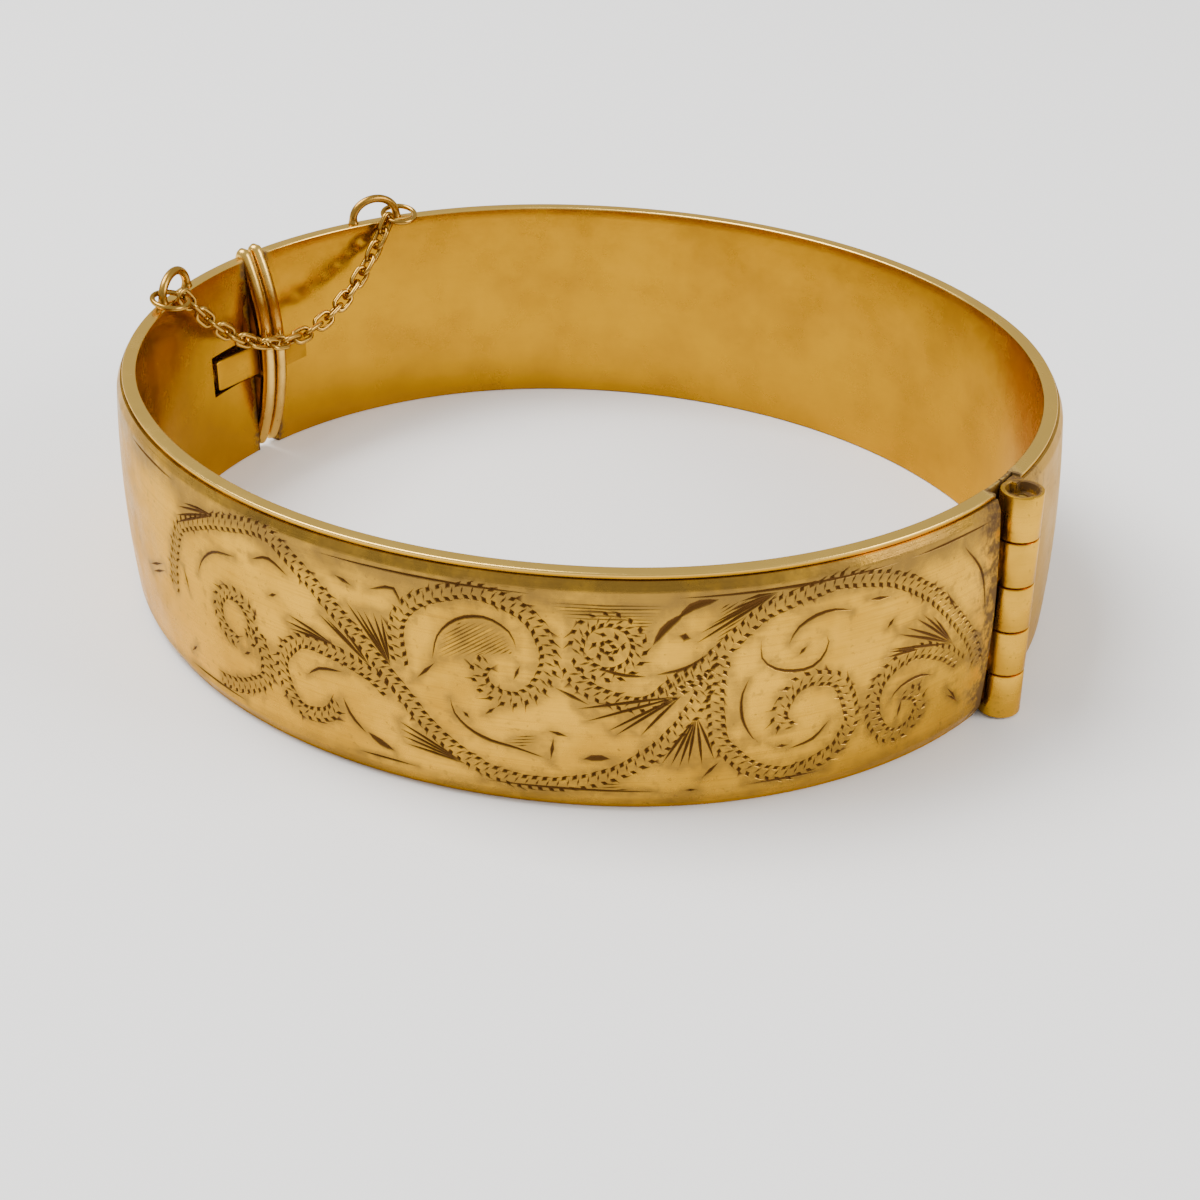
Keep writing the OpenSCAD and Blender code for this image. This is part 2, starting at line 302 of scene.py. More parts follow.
GOLD = (0.72, 0.385, 0.024, 1.0)
GOLD_PALE = (0.78, 0.50, 0.11, 1.0)
GOLD_RICH = (0.50, 0.25, 0.006, 1.0)
GOLD_DEEP = (0.28, 0.125, 0.010, 1.0)
GOLD_DULL = (0.48, 0.285, 0.06, 1.0)
PATINA = (0.09, 0.035, 0.006, 1.0)
# dark tarnish; also the colour of the painted shade beside the collars and in the hinge barrel
TARNISH_AND_SHADE = (0.075, 0.042, 0.022, 1.0)
# brown grease; also the colour of the painted shade along the top of the engraved face
GREASE_AND_SHADE = (0.20, 0.115, 0.03, 1.0)
EDGE_TINT = (0.93, 0.79, 0.58, 1.0)  # gold stays gold where it is seen at a low angle


def gold(name, base=GOLD, rough=(0.16, 0.3), streak=0.0, wear=0.6, cloud=0.45,
         groove=False, with_stain_and_shade=False, painted_lip_highlight=False):
    """Worn gold: clouded colour, brushed or polished, with small pits and darker grease; where asked, also
    painted shade and a painted highlight along the top lip.
    """
    s = Shader(name)
    clouds = s.ramp(s.noise(140.0, 4.0, 0.6), 0.35, 0.75, 0.0, cloud)
    colour = s.mix(clouds, base, GOLD_DEEP)
    bumps = [(s.noise(420.0, 3.0, 0.5), 0.02), (s.noise(5200.0, 3.0, 0.7), 0.0016 + 0.003 * wear)]
    if streak:
        brushed = s.noise(900.0, 4.0, 0.75, stretch=(0.16, 0.16, 9.0))
        lines = s.ramp(brushed, 0.45, 0.75, 0.0, 0.3 * min(streak, 1.2))
        colour = s.mix(lines, colour, GOLD_DEEP)
        bumps.append((brushed, 0.008 * streak))
    freckles = s.ramp(s.noise(2600.0, 2.0, 0.6), 0.64, 0.8, 0.0, 0.4 * wear)
    colour = s.mix(freckles, colour, TARNISH_AND_SHADE)
    specks = s.ramp(s.noise(1100.0, 3.0, 0.6), 0.6, 0.72, 0.0, 0.5 * max(0.0, wear - 0.5))
    colour = s.mix(specks, colour, GREASE_AND_SHADE)
    roughness = s.ramp(s.noise(260.0, 5.0, 0.65), 0.3, 0.75, *rough)
    dirt_and_shade = []
    if groove:
        # Painted shade along the top of the engraved face, standing in for a dull reflection there, and
        # darker towards the bottom rim.
        bands = s.combine(s.height(11.5, 14.0), s.height(2.4, 1.0, 0.7))
        top_shade_and_low_band = s.ramp(s.combine(bands, s.noise(330.0, 4.0, 0.7), "MULTIPLY"), 0.1, 0.6, 0.0, 0.8)
        colour = s.mix(top_shade_and_low_band, colour, GREASE_AND_SHADE)
        smudge = s.combine(s.attribute("soil"), s.noise(500.0, 4.0, 0.7), "MULTIPLY")
        soil = s.ramp(smudge, 0.08, 0.55, 0.0, 0.7)
        colour = s.mix(soil, colour, GREASE_AND_SHADE)
        worn = s.ramp(s.noise(130.0, 3.0, 0.6), 0.38, 0.58, 0.65, 1.1)
        cut = s.ramp(s.combine(s.attribute("cut"), worn, "MULTIPLY"), 0.0, 0.32, 0.0, 0.97)
        colour = s.mix(cut, colour, PATINA)
        dirt_and_shade.append(cut)
    if painted_lip_highlight:
        # painted highlight: the top lip of the liner is paler
        colour = s.mix(s.height(BAND_H - 0.2, BAND_H - 0.03), colour, GOLD_PALE)
    if with_stain_and_shade:
        # Tarnish, and painted shade beside the collars and inside the hinge barrel, from the per-point
        # value, mixed toward the dark colour.
        blots = s.ramp(s.noise(800.0, 5.0, 0.75), 0.3, 0.7, 0.35, 1.25)
        tarnish_and_shade = s.ramp(s.combine(s.attribute("stain_and_shade"), blots, "MULTIPLY"), 0.25, 0.85, 0.0, 0.92)
        colour = s.mix(tarnish_and_shade, colour, TARNISH_AND_SHADE)
        dirt_and_shade.append(tarnish_and_shade)
    for amount in dirt_and_shade:
        roughness = s.combine(roughness, s.combine(amount, 0.4, "MULTIPLY"))
    s.put(colour, s.surface.inputs["Base Color"])
    s.put(roughness, s.surface.inputs["Roughness"])
    s.bump(*bumps)
    s.dull(*dirt_and_shade)
    return s.material


FINISH = {
    "engraved": gold("engraved_gold", rough=(0.2, 0.42), streak=1.3, wear=1.3, cloud=0.55,
                     groove=True, with_stain_and_shade=True),
    "plain": gold("plain_gold", base=GOLD_DULL, rough=(0.3, 0.48), streak=1.4, wear=1.8, with_stain_and_shade=True),
    "liner": gold("liner_gold", base=GOLD_RICH, rough=(0.18, 0.32), streak=0.3, wear=0.4, with_stain_and_shade=True,
                  painted_lip_highlight=True),
    "plate": gold("plate_gold", base=GOLD_DEEP, rough=(0.35, 0.5), wear=1.2),
    "collar": gold("collar_gold", base=GOLD_PALE, rough=(0.16, 0.32), wear=1.4, cloud=0.7),
    "loop": gold("loop_gold", base=GOLD_DULL, rough=(0.22, 0.4), wear=1.8, cloud=0.8),
    "knuckle": gold("knuckle_gold", rough=(0.16, 0.32), streak=0.6, wear=1.4, with_stain_and_shade=True),
    "pin": gold("pin_gold", base=GOLD_PALE, rough=(0.2, 0.34), wear=0.8),
    "tongue": gold("tongue_gold", base=GOLD_RICH, rough=(0.3, 0.46), streak=0.8, wear=1.6, cloud=0.9),
    "chain": gold("chain_gold", base=GOLD_DULL, rough=(0.18, 0.34), wear=1.4, cloud=0.7),
}


def stain_and_shade(obj, amount):
    """Stores one value per point for tarnish and painted shade; amount(x, y, z) takes millimetres in the
    oval's frame.
    """
    values = []
    for v in obj.data.vertices:
        x, y, z = (c / MM for c in v.co)
        values.append(min(1.0, max(0.0, amount(x + X_MID, y, z))))
    add_attribute(obj.data, "stain_and_shade", values)


def near(value, reach):
    """1 at 0, falling to 0 at reach."""
    return max(0.0, 1.0 - abs(value) / reach)


def painted_clasp_shade(y, z):
    """Two wedges of painted shade beside each collar, where the collars shade the band."""
    wedge = 0.4 + 1.6 * abs(z / BAND_H - 0.5)
    return 0.9 * near(max(0.0, abs(y) - CLASP_END), wedge)


def shell_tarnish_and_shade(x, y, z):
    """Broad stains where the shells were soldered to the hinge, and narrow wedges of painted shade beside
    the collars at the clasp.
    """
    if x > 0:
        return near(max(0.0, abs(y) - FRONT_HINGE_END), 4.0)
    # at the clasp: painted shade beside the collars
    return painted_clasp_shade(y, z)


def liner_tarnish_and_shade(x, y, z):
    """The lips are stained beside the barrel, and the walls only where they meet behind it. At the clasp the
    liner gets wedges of painted shade beside the collars.
    """
    # at the clasp: painted shade beside the collars
    if x < 0:
        return painted_clasp_shade(y, z)
    on_lip = min(z, BAND_H - z) < LINER_T
    return near(max(0.0, abs(y) - FRONT_HINGE_END), 0.8) if on_lip else near(y, 1.0)


def finish(obj, body, slot, material, *nodes):
    obj.data.materials.clear()
    obj.data.materials.append(FINISH[material])
    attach(obj, body)
    if nodes:
        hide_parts(*nodes)


def finish_node(node, material):
    obj = NODES[node]
    obj.data.materials.clear()
    obj.data.materials.append(FINISH[material])
    return obj


# ---- engraving -----------------------------------------------------------------------------------


def resample(path, count):
    """Points at equal steps along a path."""
    path = np.array(path, float)
    run = np.concatenate([[0], np.cumsum(np.linalg.norm(np.diff(path, axis=0), axis=1))])
    marks = np.linspace(0, run[-1], count)
    return np.stack([np.interp(marks, run, axis) for axis in path.T], 1)


def smooth_path(points, step):
    """Points at about equal steps on a Catmull-Rom curve through the given ones."""
    pts = [np.array(p, float) for p in points]
    ends = [2 * pts[0] - pts[1], *pts, 2 * pts[-1] - pts[-2]]
    dense = []
    for i in range(1, len(ends) - 2):
        a, b, c, d = ends[i - 1 : i + 3]
        for t in np.linspace(0, 1, 16, endpoint=False):
            square, cube = 2 * a - 5 * b + 4 * c - d, 3 * b - a - 3 * c + d
            dense.append(0.5 * (2 * b + (c - a) * t + square * t**2 + cube * t**3))
    dense.append(pts[-1])
    dense = np.array(dense)
    length = np.linalg.norm(np.diff(dense, axis=0), axis=1).sum()
    return resample(dense, max(2, round(length / step) + 1))


class Engraving:
    """V-grooves on the developed band: closed outlines, ridge lines and a depth anywhere."""

    def __init__(self):
        self.strokes = []

    def cut(self, points, width, depth, step=0.55):
        """A graver's line that swells from its ends."""
        line = smooth_path(points, step) if len(points) > 2 else np.array(points, float)
        if len(line) == 2:
            line = np.array([line[0], (line[0] + line[1]) / 2, line[1]])
        share = np.linspace(0, 1, len(line))
        swell = np.minimum(1.0, 1.35 * np.sqrt(np.minimum(share, 1 - share)))
        self.strokes.append((line, swell * width / 2, swell * depth))

    def nick(self, centre, direction, length, width, depth=0.13):
        """A short cut that is widest near its middle."""
        half = np.array(direction) * length / 2
        line = np.array([centre - half, centre + half * 0.15, centre + half])
        self.strokes.append((line, np.array([0.0, width / 2, width / 6]), np.array([0.0, depth, depth / 3])))

    def fan(self, tip, ends, width=0.24, depth=0.1):
        """Slightly bowed cuts that meet at a tip."""
        for end in ends:
            bow = (np.array(tip) + np.array(end)) / 2 + np.array([0.0, 0.08])
            self.cut([tip, bow, end], width, depth, step=0.9)

    def wriggle(self, points, rng, pitch=0.6, gap=0.36, dash=True):
        """A border of paired nicks with a slanted dash between them, as a rocked graver leaves."""
        line = smooth_path(points, pitch)
        along = np.gradient(line, axis=0)
        along /= np.linalg.norm(along, axis=1)[:, None]
        for spot, way in zip(line, along):
            across = np.array([-way[1], way[0]])
            for hand in (-1, 1):
                slant = way * 0.75 + across * (0.65 * hand)
                shift = way * (0.14 * hand) + across * (gap * hand)
                jitter = np.array([rng.uniform(-0.03, 0.03), rng.uniform(-0.03, 0.03)])
                self.nick(spot + shift + jitter, slant, rng.uniform(0.4, 0.5), rng.uniform(0.3, 0.37))
            if dash:
                slant = way * 0.4 + across * 0.9
                self.nick(spot + way * pitch / 2, slant / np.linalg.norm(slant), 0.56, 0.16, 0.05)

    def depth_at(self, points):
        """Depth of the deepest stroke at each point."""
        depth = np.zeros(len(points))
        for line, half, deep in self.strokes:
            low, high = line.min(0) - half.max(), line.max(0) + half.max()
            close = np.flatnonzero(((points > low) & (points < high)).all(1))
            p = points[close]
            for a, b, ha, hb, da, db in zip(line, line[1:], half, half[1:], deep, deep[1:]):
                run = b - a
                t = np.clip((p - a) @ run / (run @ run), 0, 1)
                away = np.linalg.norm(p - a - t[:, None] * run, axis=1)
                wide = ha + (hb - ha) * t
                here = (da + (db - da) * t) * np.clip(1 - away / np.maximum(wide, 1e-6), 0, None)
                depth[close] = np.maximum(depth[close], here)
        return depth

    def soil_at(self, points, reach=0.75):
        """1 beside the strokes, falling to 0 within reach: where grease stays after polishing."""
        tree = KDTree(sum(len(line) for line, _, _ in self.strokes))
        for line, _, _ in self.strokes:
            for p in line:
                tree.insert((*p, 0.0), 0)
        tree.balance()
        return [max(0.0, 1.0 - tree.find((*p, 0.0))[2] / reach) for p in points]

    def outline(self):
        """Vertices and constraint edges of all strokes."""
        verts, edges = [], []
        for line, half_widths, _ in self.strokes:
            along = np.gradient(line, axis=0)
            along /= np.linalg.norm(along, axis=1)[:, None]
            across = np.stack([-along[:, 1], along[:, 0]], 1)
            left, right, ridge = [], [], []
            for p, n, half in zip(line, across, half_widths):
                ridge.append(len(verts))
                verts.append(p)
                if half < 1e-4:
                    left.append(ridge[-1])
                    right.append(ridge[-1])
                    continue
                left.append(len(verts))
                verts.append(p + n * half)
                right.append(len(verts))
                verts.append(p - n * half)
            for chain in (left, right, ridge):
                edges += [(a, b) for a, b in zip(chain, chain[1:]) if a != b]
            for end in (-1, 0):
                if left[end] != right[end]:
                    edges += [(left[end], ridge[end]), (ridge[end], right[end])]
        return verts, edges


# All of the engraving is drawn in (distance along the band from the clasp, height).
# Middle lines of the rocked borders
SCROLLS = [
    # left scroll, from its eye over the top and down to the lower rim, then up to the right
    [(36.2, 6.5), (36.5, 8.5), (37.5, 11), (39, 12), (42, 13.2), (45, 13.9), (46.5, 13.8), (48, 13),
     (50.5, 11.2), (53.5, 8.5), (55.3, 6.5), (56.7, 4.8), (58.9, 2.9), (61.5, 1.8), (64.5, 1.7),
     (67.5, 2.6), (69.8, 4.2), (71.5, 6.2), (72.8, 8.8)],
    [(45, 7), (45.5, 5.5), (45.3, 4), (44, 3), (42.5, 2.3), (41, 2)],
    [(54.5, 6.2), (53.5, 7), (52, 7.6), (50.3, 7.9), (48.8, 7.9), (47.8, 7.3), (47, 6.3), (46.9, 5),
     (47.6, 3.3), (48.5, 2.9), (49.3, 3), (50.2, 3.4), (50.7, 4)],
    [(55.3, 8.5), (55.1, 10), (55.3, 11.2), (56, 12.2), (57.2, 13), (58.6, 13.5), (60, 13.7),
     (61.3, 13.4), (62.4, 12.9), (63.2, 12.2), (63.7, 11.3), (64, 10.2), (63.8, 9), (63.2, 8),
     (62.3, 7.3), (61.3, 7.3), (60.5, 7.7), (60, 8.6), (60.3, 9.3)],
    [(65.2, 9.5), (65.7, 8.7), (66.5, 8.1), (67.5, 7.7), (68.5, 7.4), (69.5, 7.5), (70.3, 8.1),
     (71, 8.8), (72, 9.5)],
    [(70.2, 7.8), (71.3, 8.6), (73.4, 10.6), (75.2, 12.3), (76.5, 13), (79.5, 13.7), (81, 13.7),
     (83.8, 13), (86.1, 11.6), (88.1, 9.7), (89.9, 7.5), (90.8, 6.2), (91.3, 5)],
    [(73.4, 10), (73.1, 8), (73.3, 5.4), (73.7, 4.3), (75.4, 2.5), (77.7, 1.8), (80.2, 2.6),
     (81, 3.6), (81.4, 4.9), (80.6, 7.2), (79.6, 7.8), (78.5, 8), (77.6, 7.6), (76.8, 6), (77.2, 5.2)],
    [(89.5, 5.6), (88.5, 6.5), (87.3, 7.2), (86, 7.7), (84.6, 7.6), (83.5, 7), (82.9, 6), (82.8, 4.8),
     (83.2, 3.6), (83.9, 2.7), (84.8, 2.4), (85.7, 2.6), (86.4, 3.6), (86.2, 4.6), (85.4, 5.1)],
]
# (centre, radius, start angle, turn) of the round ends of scrolls, angles in degrees
SPIRALS = [((43.0, 7.3), 1.6, -40, 300), ((67.2, 11.0), 1.7, -150, 330), ((67.2, 11.0), 0.55, 0, 300)]
# (tip, far ends of the cuts that meet there)
FANS = [
    ((41.5, 13.4), [(37, 11.2), (37.2, 11.8), (37.5, 12.5), (38.2, 13)]),
    ((54.7, 8), [(52, 11.4), (52.6, 11.2), (53.1, 11.2), (53.7, 11.3), (54.2, 11.2)]),
    ((53.3, 7.7), [(50, 10.1), (50.5, 10), (51.7, 9.6)]),
    ((51, 8.3), [(47.7, 9.3), (47.4, 8.8), (47.7, 8.4)]),
    ((59, 2.3), [(55, 4.4), (55, 3.9), (55.1, 3.4), (55.3, 2.9)]),
    ((71.2, 7.9), [(65.5, 7), (66, 6.2), (67.2, 5.6), (67.6, 5.3), (69, 5.3)]),
    ((72.1, 6.5), [(70.2, 3.3), (70.7, 3.1), (71.2, 3), (71.7, 3.2), (72.5, 3.1), (73.2, 3.4)]),
    ((76.5, 13.8), [(72, 11.2), (72.2, 11.8), (72.8, 12.3), (73.5, 12.9), (74.3, 13.5)]),
    ((88.7, 7.2), [(83.5, 8.6), (84.2, 9.4), (84.7, 9.7), (85.5, 10), (86, 10.1), (86.8, 9.7)]),
    ((86, 7.8), [(83.3, 8.1), (83.5, 8.4)]),
    ((90, 2.5), [(88.6, 4.2), (88.7, 3.6), (89.5, 3)]),
]
# Single lines of leaves and shading
LINES = [
    [(39.5, 8.8), (40, 9.9), (41.3, 11), (43.4, 11.5)],
    [(37.7, 8.6), (38.2, 6.9)],
    [(44.9, 11.9), (46.3, 12.4), (47.8, 11.8)],
    [(46.2, 10), (46.9, 10.3)],
    [(43.5, 5), (44.2, 5.4)],
    [(31.8, 6), (34.8, 7.4)],
    [(32.3, 5.7), (35, 7)],
    [(37.2, 2.3), (38.2, 3.2)],
    [(48.8, 5.6), (49.8, 6.4), (51.5, 6.7)],
    [(51.3, 5), (51.8, 3.8), (52.8, 2.8)],
    [(51.2, 12.9), (52.4, 12.5)],
    [(53.5, 12.6), (55, 13), (55.5, 12)],
    [(56.3, 7.6), (57.5, 8.9)],
    [(57.3, 9), (57.7, 10.7), (58.9, 11.9), (60.5, 12.2), (61.8, 11.5), (62.2, 10.5)],
    [(58.3, 6.8), (58.5, 5.8), (59.3, 4.9), (60.5, 4.3), (62, 4), (63.7, 3.5)],
    [(64, 3.3), (64.2, 5)],
    [(59, 6), (59.4, 5.6)],
    [(60.3, 6), (61, 6.6)],
    [(62.4, 9.5), (62, 8.5)],
    [(63.9, 5.4), (65, 5.1)],
    [(64.3, 8.3), (66.2, 7.3)],
    [(66.6, 9.7), (68, 9.3), (69.3, 9.2)],
    [(69.8, 9.3), (71.5, 9.7), (72.8, 10.6)],
    [(75, 8.7), (74.6, 7.5), (74.7, 6), (75.3, 4.7), (75.7, 4.3)],
    [(76.7, 3.8), (77.5, 3.8)],
    [(77.5, 3.5), (79, 3.9), (80, 5)],
    [(77.2, 10.5), (77.7, 11.4), (78.8, 12), (80, 12.1), (81, 11.8)],
    [(75.6, 11), (75.7, 9.8), (76.6, 9), (78, 8.7), (79, 9), (79.6, 10), (79.4, 10.7)],
    [(77.8, 9.7), (78.3, 10.2)],
    [(82, 12.2), (83.6, 12)],
    [(83.4, 10), (83.9, 10.6)],
    [(84, 5), (84.6, 5.7), (86, 6), (87.3, 5.6)],
    [(84.7, 3.5), (84.9, 4.8)],
    [(72.5, 2.2), (73.5, 3.3)],
    [(87.8, 11), (88.8, 9.3)],
    [(89.2, 13.3), (91, 11), (91.7, 8)],
]
# Wide dark leaves
BOLD_LINES = [
    [(52.8, 3), (53.6, 2.5), (54.6, 2.1)],
    [(65.8, 3.6), (66.6, 3.75), (67.4, 3.7)],
    [(70.9, 12.7), (71.8, 13.45), (73.2, 13.75)],
    [(69.6, 11.1), (70.3, 12.2), (71.4, 13.1)],
    [(71.0, 11.7), (71.3, 11.75), (71.7, 11.5)],
]
# Shaded patches: (corners of the patch, direction of its fine lines in degrees)
HATCHES = [
    ([(57.5, 9.2), (57.9, 10.6), (59, 11.7), (60.5, 12), (61.7, 11.3), (62, 10.2), (60.2, 9.8)], 35.0),
    ([(61.4, 4.2), (62.4, 4.1), (63.3, 4.5), (63.2, 5.1), (62.2, 4.9)], 10.0),
    ([(66.5, 1.5), (68.7, 1.5), (67.5, 2.2)], 5.0),
    ([(63.8, 13.6), (70.4, 13.6), (69.6, 12.4), (69.0, 11.6), (68.0, 12.9), (65.0, 12.6)], 0.0),
    ([(73.0, 10.8), (73.3, 13.4), (75.8, 13.7)], 30.0),
]
# Fine border lines: (height, the stretches where they still show)
TOP_LINE = (13.95, [(30, 37), (50, 63), (71, 84), (85, 92)])
LOW_LINE = (1.4, [(37, 43), (52, 56), (60, 70), (71.5, 72.3), (75, 80)])


def hatch(engraving, corners, degrees, pitch=0.2):
    """Fine parallel lines that fill a polygon."""
    way = np.array([math.cos(math.radians(degrees)), math.sin(math.radians(degrees))])
    across = np.array([-way[1], way[0]])
    pts = np.array(corners, float)
    heights = pts @ across
    level = heights.min() + pitch / 2
    while level < heights.max():
        hits = []
        for a, b in zip(pts, np.roll(pts, -1, 0)):
            ha, hb = a @ across - level, b @ across - level
            if (ha > 0) != (hb > 0):
                hits.append((a + (b - a) * ha / (ha - hb)) @ way)
        if len(hits) >= 2 and max(hits) - min(hits) > 0.25:
            spots = [way * h + across * level for h in (min(hits), max(hits))]
            engraving.cut(spots, 0.12, 0.035)
        level += pitch


def engrave():
    rng = random.Random(11)
    engraving = Engraving()
    for path in SCROLLS:
        engraving.wriggle(path, rng)
    for centre, radius, start, turn in SPIRALS:
        angles = np.radians(np.linspace(start, start + turn, 12))
        ring = [(centre[0] + radius * math.cos(a), centre[1] + radius * math.sin(a)) for a in angles]
        engraving.wriggle(ring, rng, gap=0.2 if radius < 1 else 0.33, dash=radius > 1)
    for tip, ends in FANS:
        engraving.fan(tip, ends)
    for line in LINES:
        engraving.cut(line, 0.28, 0.09)
    for line in BOLD_LINES:
        engraving.cut(line, 0.6, 0.13)
    for corners, degrees in HATCHES:
        hatch(engraving, corners, degrees)
    for level, runs in (TOP_LINE, LOW_LINE):
        for start, end in runs:
            bow = ((start + end) / 2, level + 0.04)
            engraving.cut([(start, level), bow, (end, level)], 0.22, 0.09, step=1.5)
    return engraving


# ---- sheet parts ---------------------------------------------------------------------------------


def spaced(start, end, step):
    return np.linspace(start, end, max(2, round((end - start) / step) + 1))


CHEEK_ROWS = (0.0, 0.2, 0.42, 0.6, 0.72, 0.84, 0.96, 1.1, 1.3)


def face_rows(low):
    """Heights of the mesh rows on the outer face: close together round the cheek edges."""
    first = [low + (CHEEK_H + 0.4 - low) * s / CHEEK_ROWS[-1] for s in CHEEK_ROWS]
    middle = list(spaced(first[-1], BAND_H - first[-1], 0.62))[1:-1]
    return np.array(first + middle + [BAND_H - z for z in reversed(first)])


SHELL_LOW = LINER_T + 0.03  # a fine seam is left between the shell and the liner's lip


def shell_faces_mesh(u_low, u_high, engraving=None):
    """Points and faces of an outer face on the developed band, with the depth of each point."""
    columns = spaced(u_low, u_high, 0.7)
    rows = face_rows(SHELL_LOW)
    verts = [np.array((u, z)) for u in columns for z in rows]
    if engraving is None:
        return np.array(verts), grid_faces(len(columns), len(rows)), np.zeros(len(verts))
    clear = engraving.depth_at(np.array(verts)) <= 0
    ends = (columns[0], columns[-1])
    edge = np.array([u in ends or z in (rows[0], rows[-1]) for u in columns for z in rows])
    verts = [v for v, keep in zip(verts, clear | edge) if keep]
    stroke_verts, edges = engraving.outline()
    inside = [u_low + 0.05 < p[0] < u_high - 0.05 and rows[0] < p[1] < rows[-1] for p in stroke_verts]
    base = len(verts)
    edges = [(a + base, b + base) for a, b in edges if inside[a] and inside[b]]
    stroke_verts = [p if ok else verts[0] for p, ok in zip(stroke_verts, inside)]
    all_verts = [Vector(p) for p in verts + stroke_verts]
    flat_verts, _, faces, _, _, _ = delaunay_2d_cdt(all_verts, edges, [], 0, 1e-5)
    flat = np.array([v[:] for v in flat_verts])
    return flat, [tuple(f) for f in faces], engraving.depth_at(flat)


def shell_point(u, z, sunk, side):
    (x, y), _ = plan(u, soft_face_off(z) - sunk, side)
    return (x, y, z)


def surface_normal(u, z, side):
    _, n = plan(u, 0.0, side)
    slope = (soft_face_off(z + 0.02) - soft_face_off(z - 0.02)) / 0.04
    return Vector((n[0], n[1], -slope)).normalized()


FULL_CUT = 0.1  # depth at which a groove is fully dark


def add_attribute(mesh, name, values):
    """A number per point; the points after the given ones get 0."""
    attribute = mesh.attributes.new(name, "FLOAT", "POINT")
    values = [float(v) for v in values] + [0.0] * (len(mesh.vertices) - len(values))
    attribute.data.foreach_set("value", values)


def border_loop(faces):
    """The points along the border of a sheet, in order."""
    sides = [pair for f in faces for pair in zip(f, f[1:] + f[:1])]
    shared = set(sides)
    follow = {a: b for a, b in sides if (b, a) not in shared}
    loop = [next(iter(follow))]
    while follow[loop[-1]] != loop[0]:
        loop.append(follow[loop[-1]])
    return loop


def inner_sheet(rim, u_low, u_high):
    """A coarse grid triangulated inside a rim, in the flat: its points, its faces, and for each point
    its place in the rim or None."""
    columns, rows = spaced(u_low, u_high, 1.4), face_rows(SHELL_LOW)
    grid = [(u, z) for u in columns[1:-1] for z in rows[1:-1:2]]
    edges = [(i, (i + 1) % len(rim)) for i in range(len(rim))]
    flat, _, faces, origin, _, _ = delaunay_2d_cdt([Vector(p) for p in [*rim, *grid]], edges, [], 0, 1e-6)
    places = [min(old) if old and min(old) < len(rim) else None for old in origin]
    return flat, faces, places


def shell_normals(mesh, flat, depth, side):
    """Smooth normals on the outer face, and flat ones in the grooves, on the edges and inside."""
    normals = []
    for poly in mesh.polygons:
        poly.use_smooth = True
        outer = all(k < len(flat) for k in poly.vertices)
        if not outer or max(depth[k] for k in poly.vertices) > 1e-4:
            normals += [poly.normal] * len(poly.vertices)
            continue
        smooth = [surface_normal(*flat[k], side) for k in poly.vertices]
        flip = 1.0 if poly.normal.dot(smooth[0]) > 0 else -1.0
        normals += [n * flip for n in smooth]
    mesh.normals_split_custom_set(normals)


def outer_shell(name, side, u_low, u_high, engraving=None):
    """One half's outer sheet, closed: engraved or plain face, edges and inner face."""
    flat, faces, depth = shell_faces_mesh(u_low, u_high, engraving)
    points = [shell_point(u, z, d, side) for (u, z), d in zip(flat, depth)]
    loop = border_loop(faces)
    inner = {k: len(points) + i for i, k in enumerate(loop)}
    points += [shell_point(*flat[k], SHELL_T, side) for k in loop]
    faces = faces + [(b, a, inner[a], inner[b]) for a, b in zip(loop, loop[1:] + loop[:1])]
    inner_flat, inner_faces, places = inner_sheet([flat[k] for k in loop], u_low, u_high)
    index = []
    for (u, z), place in zip(inner_flat, places):
        index.append(len(points) if place is None else inner[loop[place]])
        if place is None:
            points.append(shell_point(u, z, SHELL_T, side))
    faces += [tuple(index[k] for k in reversed(f)) for f in inner_faces]
    mesh = bpy.data.meshes.new(name)
    mesh.from_pydata([to_frame(*p) for p in points], [], faces)
    shell_normals(mesh, flat, depth, side)
    add_attribute(mesh, "cut", [min(1.0, d / FULL_CUT) for d in depth])
    if engraving:
        add_attribute(mesh, "soil", engraving.soil_at(flat))
    return add_object(name, mesh)


def corner(cx, cz, radius, start, count=4):
    """Points of a rounded corner about (cx, cz), a quarter turn from start degrees."""
    return [
        (cx + radius * math.cos(math.radians(start + 90 * k / count)),
         cz + radius * math.sin(math.radians(start + 90 * k / count)))
        for k in range(count + 1)
    ]


LIP_ROUND = 0.13  # radii of the lip's inner and outer edge
LIP_EDGE = 0.1
WINDOW = (6.15, 9.22)  # heights of the window's edges
WINDOW_END = 5.55  # distance of its far edge from the mid line


def liner_section():
    """Closed outline of the liner: wall inside, then the top lip, the wall outside, the bottom lip."""
    low, high = WINDOW
    rows = [*spaced(0.8, low, 0.9), *spaced(low, high, 0.9)[1:], *spaced(high, BAND_H - 0.8, 0.9)[1:]]
    inside = [(0.0, z) for z in rows]
    top = [*reversed(corner(LIP_ROUND, BAND_H - LIP_ROUND, LIP_ROUND, 90)),
           (LIP_W / 2, BAND_H),
           *reversed(corner(LIP_W - LIP_EDGE, BAND_H - LIP_EDGE, LIP_EDGE, 0)),
           (LIP_W, BAND_H - LINER_T), (LINER_T, BAND_H - LINER_T)]
    outside = [(LINER_T, z) for z in reversed(rows)]
    bottom = [(off, BAND_H - z) for off, z in reversed(top)]
    return inside + top + outside + bottom, rows, len(inside) + len(top)


